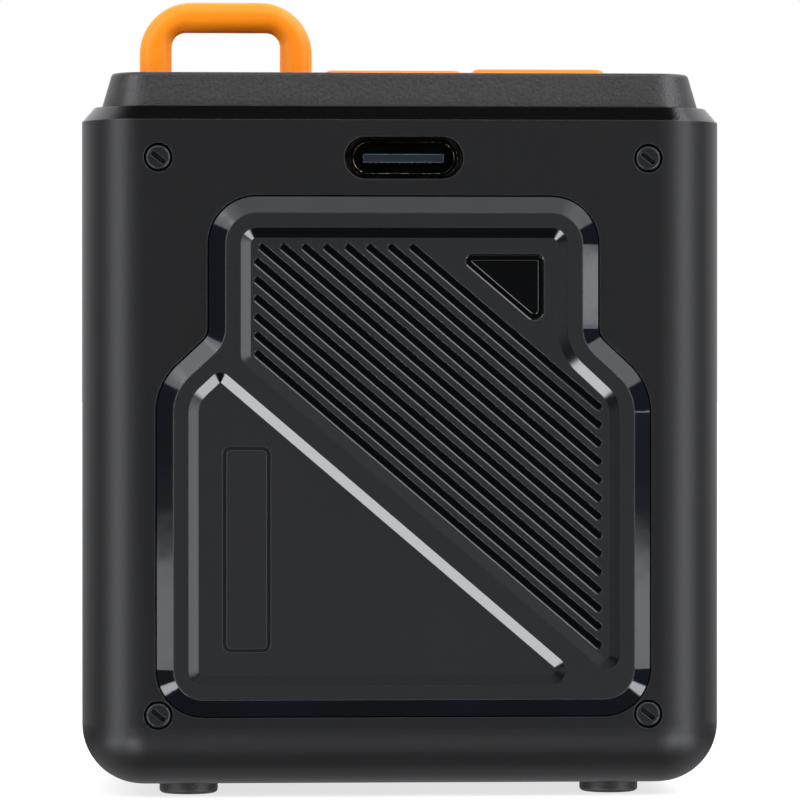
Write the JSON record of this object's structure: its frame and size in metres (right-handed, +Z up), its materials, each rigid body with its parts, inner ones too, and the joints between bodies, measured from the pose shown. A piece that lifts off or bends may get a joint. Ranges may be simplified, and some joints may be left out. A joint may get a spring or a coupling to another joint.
{
  "type": "portable speaker",
  "caption": "Pocket wireless speaker with a sculpted bass radiator and charging socket at the back, orange keys and carry loop on top, and a perforated grille in front.",
  "frame": {"origin": "on the ground under the middle of the body, halfway from the radiator's land to the grille's face", "axes": "+Z up, +Y towards the front grille; the bass radiator and the charging socket face -Y"},
  "size_m": [0.0532, 0.038, 0.0671],
  "materials": {
    "housing_plastic": "fine spark-eroded matt",
    "cap_plastic": "coarse spark-eroded matt",
    "panel_plastic": "fine matt",
    "gloss_black": "polished",
    "surround_rubber": "glossy moulded",
    "orange_rubber": "silk moulded",
    "orange_plastic": "satin moulded",
    "foot_rubber": "matt",
    "seal_rubber": "matt",
    "black_steel": "black passivated",
    "steel": "satin",
    "basket_steel": "black lacquer",
    "magnet": "nickel plated",
    "socket_steel": "black plated",
    "gilt": "gilt",
    "tongue_plastic": "moulded",
    "chassis_plastic": "moulded",
    "board": "green solder mask",
    "chip": "moulded",
    "ceramic": "fired",
    "clear_plastic": "clear",
    "lamp": "moulded",
    "pouch": "laminated foil",
    "foam": "foam",
    "wire": "insulated wire",
    "copper": "enamelled copper",
    "paper": "pressed paper",
    "cloth": "woven",
    "kapton": "film"
  },
  "bodies": {
    "root": {"main_housing": "housing_plastic", "front_frame": "housing_plastic", "front_seal": "seal_rubber", "front_grille": "basket_steel", "grille_cloth": "cloth", "feet": "foot_rubber", "rear_screws": "black_steel", "frame_screws": "steel", "top_cap": "cap_plastic", "cap_gasket": "seal_rubber", "cap_screws": "steel", "carry_loop": "orange_rubber", "loop_retainer": "chassis_plastic", "loop_screws": "steel", "key_frame": "orange_plastic", "key_board": "board", "key_domes": "steel", "key_board_screws": "steel", "status_led": "lamp", "light_pipe": "clear_plastic", "radiator_surround": "surround_rubber", "radiator_clamp": "chassis_plastic", "battery_tray": "chassis_plastic", "tray_screws": "steel", "battery_cell": "pouch", "battery_spacer": "foam", "battery_leads": "wire", "main_board": "board", "board_screws": "steel", "amplifier_chip": "chip", "radio_module": "steel", "inductors": "chip", "capacitors": "ceramic", "battery_socket": "chip", "speaker_socket": "chip", "board_link": "kapton", "usb_shell": "socket_steel", "usb_tongue": "tongue_plastic", "usb_contacts": "gilt", "usb_seal": "seal_rubber", "speaker_leads": "wire", "driver_basket": "basket_steel", "driver_gasket": "foam", "driver_screws": "steel", "driver_terminals": "board", "yoke_cup": "steel", "drive_magnet": "magnet", "pole_plate": "steel", "spider": "cloth", "cone_surround": "seal_rubber"},
    "power_key": {"power_key": "orange_plastic"},
    "play_key": {"play_key": "orange_plastic"},
    "volume_rocker": {"volume_rocker": "orange_plastic"},
    "radiator": {"radiator_panel": "panel_plastic", "triangle_inlay": "gloss_black", "radiator_mass": "steel"},
    "voice_coil": {"cone": "paper", "dust_cap": "paper", "coil_former": "kapton", "coil_winding": "copper"}
  },
  "joints": [
    {"name": "power_press", "type": "slide", "parent": "root", "child": "power_key", "axis": [0, 0, -1], "range_m": [0, 0.0004], "stiffness_N_per_m": 2000},
    {"name": "play_press", "type": "slide", "parent": "root", "child": "play_key", "axis": [0, 0, -1], "range_m": [0, 0.0004], "stiffness_N_per_m": 2000},
    {"name": "volume_rock", "type": "hinge", "parent": "root", "child": "volume_rocker", "pos_m": [0.012, 0, 0.0565], "axis": [0, 1, 0], "range_deg": [-2, 2], "stiffness_Nm_per_rad": 0.17},
    {"name": "radiator_stroke", "type": "slide", "parent": "root", "child": "radiator", "axis": [0, -1, 0], "range_m": [-0.0006, 0.0006], "stiffness_N_per_m": 600, "deforming": ["radiator_surround"]},
    {"name": "cone_stroke", "type": "slide", "parent": "root", "child": "voice_coil", "axis": [0, 1, 0], "range_m": [-0.0006, 0.0006], "stiffness_N_per_m": 600, "deforming": ["cone_surround", "spider"]}
  ]
}
